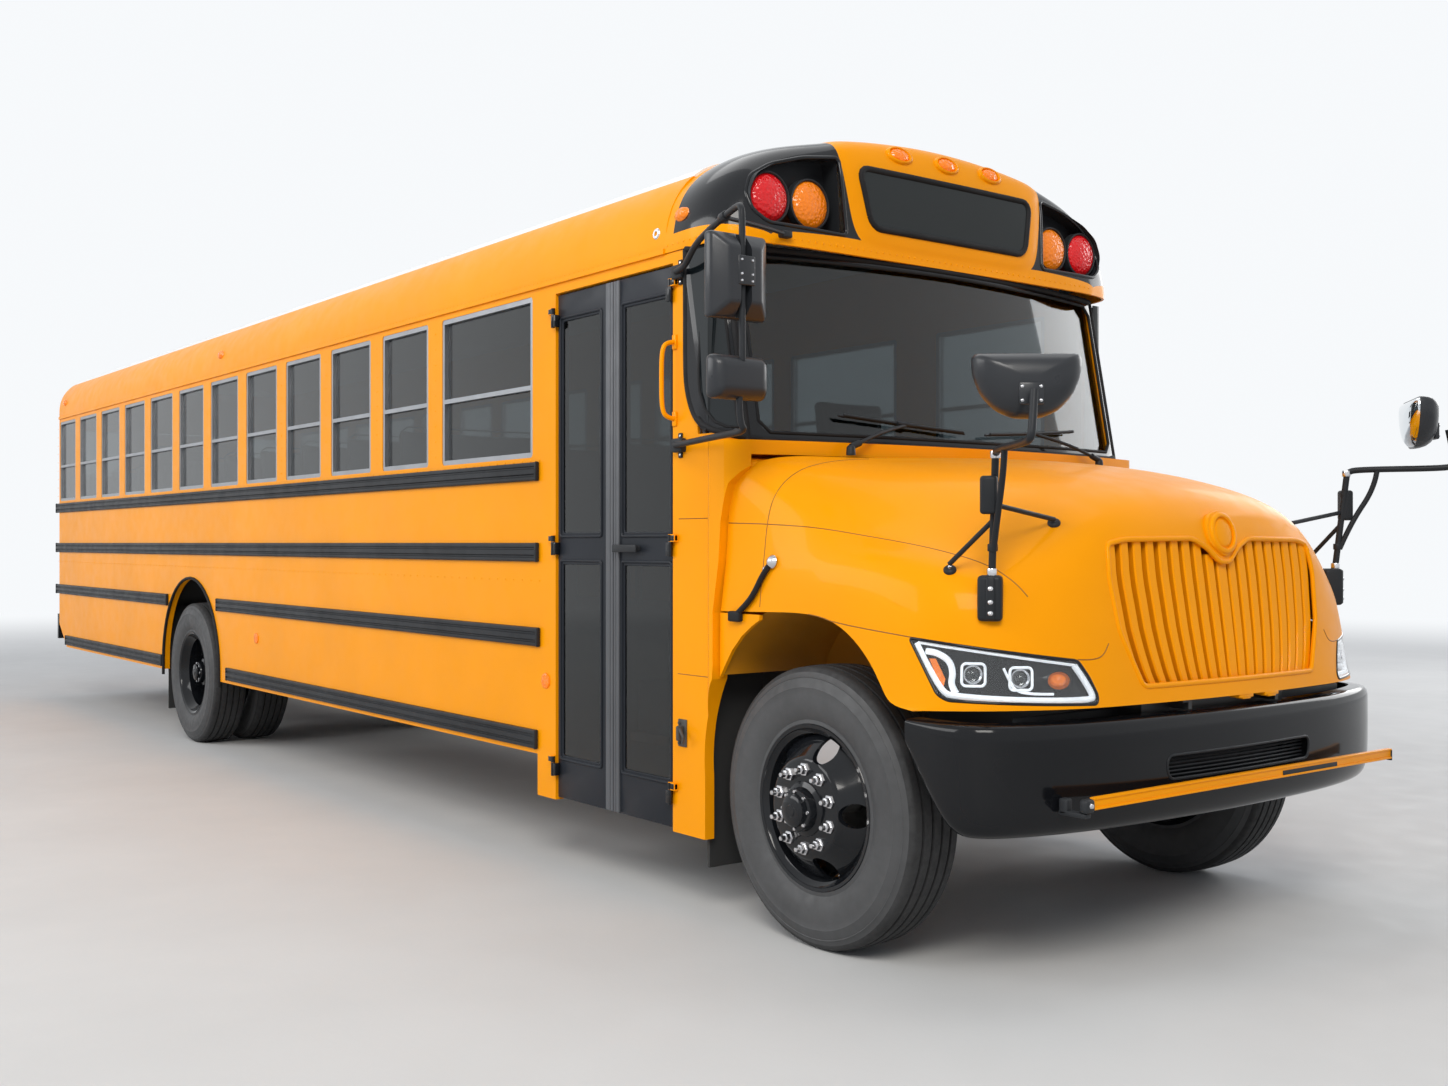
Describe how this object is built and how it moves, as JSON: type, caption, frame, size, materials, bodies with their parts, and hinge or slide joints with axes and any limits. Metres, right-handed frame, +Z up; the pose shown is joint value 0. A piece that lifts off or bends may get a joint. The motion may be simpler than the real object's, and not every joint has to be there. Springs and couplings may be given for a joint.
{
  "type": "school bus",
  "caption": "Conventional long-nosed school bus with tilting hood, two-leaf entrance door, rear emergency door, roof hatches, swinging arms, steered front wheels and twin rear wheels.",
  "frame": {"origin": "on the ground under the middle of the overall length and width", "axes": "+X forward, +Y to the driver's side (left), +Z up"},
  "size_m": [12.16, 3.1, 3.2503],
  "materials": {
    "bus_yellow": "gloss",
    "white_paint": "gloss",
    "gloss_black": "gloss",
    "satin_black": "satin",
    "black_plastic": "matte",
    "black_rubber": "matte",
    "tyre": "matte",
    "glass": "gloss",
    "sash_aluminium": "satin",
    "lamp_plastic": "gloss",
    "lamp_clear": "gloss",
    "stop_red": "gloss",
    "seat_vinyl": "satin",
    "cast_grey": "matte",
    "floor_rubber": "matte"
  },
  "bodies": {
    "body": {"chassis_frame": "satin_black", "front_axle": "cast_grey", "rear_axle": "cast_grey", "engine": "cast_grey", "driveline": "cast_grey", "exhaust": "sash_aluminium", "fuel_tank": "satin_black", "floor": "floor_rubber", "wheel_housings": "floor_rubber", "entrance_steps": "floor_rubber", "wall_right": "bus_yellow", "wall_left": "bus_yellow", "rear_wall": "bus_yellow", "roof": "white_paint", "front_cap": "bus_yellow", "cowl": "bus_yellow", "dashboard": "black_plastic", "window_sashes": "sash_aluminium", "window_glass": "glass", "rub_rails": "satin_black", "seats": "seat_vinyl", "bumpers": "gloss_black", "lamps": "lamp_plastic", "mudflaps": "black_rubber", "side_mirrors": "black_plastic", "wipers": "black_plastic"},
    "hood": {"hood": "bus_yellow", "grille": "bus_yellow", "headlamps": "lamp_clear", "hood_mirrors": "black_plastic"},
    "door_front_leaf": {"door_front_leaf": "satin_black"},
    "door_rear_leaf": {"door_rear_leaf": "satin_black"},
    "rear_door": {"rear_door": "bus_yellow"},
    "stop_arm": {"stop_arm": "stop_red"},
    "crossing_arm": {"crossing_arm": "bus_yellow"},
    "hatch_front": {"hatch_front": "white_paint"},
    "hatch_rear": {"hatch_rear": "white_paint"},
    "steering_wheel": {"steering_wheel": "black_plastic"},
    "knuckle_right": {"knuckle_right": "cast_grey"},
    "knuckle_left": {"knuckle_left": "cast_grey"},
    "tie_rod": {"tie_rod": "cast_grey"},
    "front_wheel_right": {"front_wheel_right": "gloss_black", "front_tyre_right": "tyre"},
    "front_wheel_left": {"front_wheel_left": "gloss_black", "front_tyre_left": "tyre"},
    "rear_wheels_right": {"rear_wheels_right": "gloss_black", "rear_tyres_right": "tyre"},
    "rear_wheels_left": {"rear_wheels_left": "gloss_black", "rear_tyres_left": "tyre"}
  },
  "joints": [
    {"name": "hood_tilt", "type": "hinge", "parent": "body", "child": "hood", "pos_m": [5.89, 0, 0.93], "axis": [0, 1, 0], "range_deg": [0, 55]},
    {"name": "door_front_swing", "type": "hinge", "parent": "body", "child": "door_front_leaf", "pos_m": [4.122, -1.209, 1.45], "axis": [0, 0, 1], "range_deg": [0, 90]},
    {"name": "door_rear_swing", "type": "hinge", "parent": "body", "child": "door_rear_leaf", "pos_m": [3.204, -1.209, 1.45], "axis": [0, 0, -1], "range_deg": [0, 90]},
    {"name": "rear_door_swing", "type": "hinge", "parent": "body", "child": "rear_door", "pos_m": [-6.042, -0.458, 1.8], "axis": [0, 0, 1], "range_deg": [0, 110]},
    {"name": "stop_arm_swing", "type": "hinge", "parent": "body", "child": "stop_arm", "pos_m": [3.5, 1.24, 1.62], "axis": [0, 0, -1], "range_deg": [0, 90]},
    {"name": "crossing_arm_swing", "type": "hinge", "parent": "body", "child": "crossing_arm", "pos_m": [5.977, -0.885, 0.648], "axis": [0, 0, -1], "range_deg": [0, 90]},
    {"name": "hatch_front_lift", "type": "hinge", "parent": "body", "child": "hatch_front", "pos_m": [1.63, 0, 3.225], "axis": [0, 1, 0], "range_deg": [0, 90]},
    {"name": "hatch_rear_lift", "type": "hinge", "parent": "body", "child": "hatch_rear", "pos_m": [-2.72, 0, 3.225], "axis": [0, 1, 0], "range_deg": [0, 90]},
    {"name": "steer_left", "type": "hinge", "parent": "body", "child": "knuckle_left", "pos_m": [4.92, 0.85, 0.515], "axis": [0, 0, 1], "range_deg": [-45, 45]},
    {"name": "steer_right", "type": "hinge", "parent": "body", "child": "knuckle_right", "pos_m": [4.92, -0.85, 0.515], "axis": [0, 0, 1], "range_deg": [-45, 45]},
    {"name": "tie_rod_turn", "type": "hinge", "parent": "knuckle_right", "child": "tie_rod", "pos_m": [4.72, -0.85, 0.39], "axis": [0, 0, 1], "range_deg": [-45, 45]},
    {"name": "steering_wheel_turn", "type": "hinge", "parent": "body", "child": "steering_wheel", "pos_m": [3.935, 0.6, 1.8], "axis": [-0.5425, 0, 0.84], "range_deg": [-810, 810]},
    {"name": "front_wheel_right_spin", "type": "hinge", "parent": "knuckle_right", "child": "front_wheel_right", "pos_m": [4.92, -1.025, 0.515], "axis": [0, 1, 0], "continuous": true},
    {"name": "front_wheel_left_spin", "type": "hinge", "parent": "knuckle_left", "child": "front_wheel_left", "pos_m": [4.92, 1.025, 0.515], "axis": [0, 1, 0], "continuous": true},
    {"name": "rear_wheels_right_spin", "type": "hinge", "parent": "body", "child": "rear_wheels_right", "pos_m": [-2.06, -0.8925, 0.515], "axis": [0, 1, 0], "continuous": true},
    {"name": "rear_wheels_left_spin", "type": "hinge", "parent": "body", "child": "rear_wheels_left", "pos_m": [-2.06, 0.8925, 0.515], "axis": [0, 1, 0], "continuous": true}
  ],
  "couplings": [
    {"joint": "steer_right", "follows": "steer_left", "ratio": 1},
    {"joint": "tie_rod_turn", "follows": "steer_left", "ratio": -1},
    {"joint": "steering_wheel_turn", "follows": "steer_left", "ratio": 18}
  ]
}
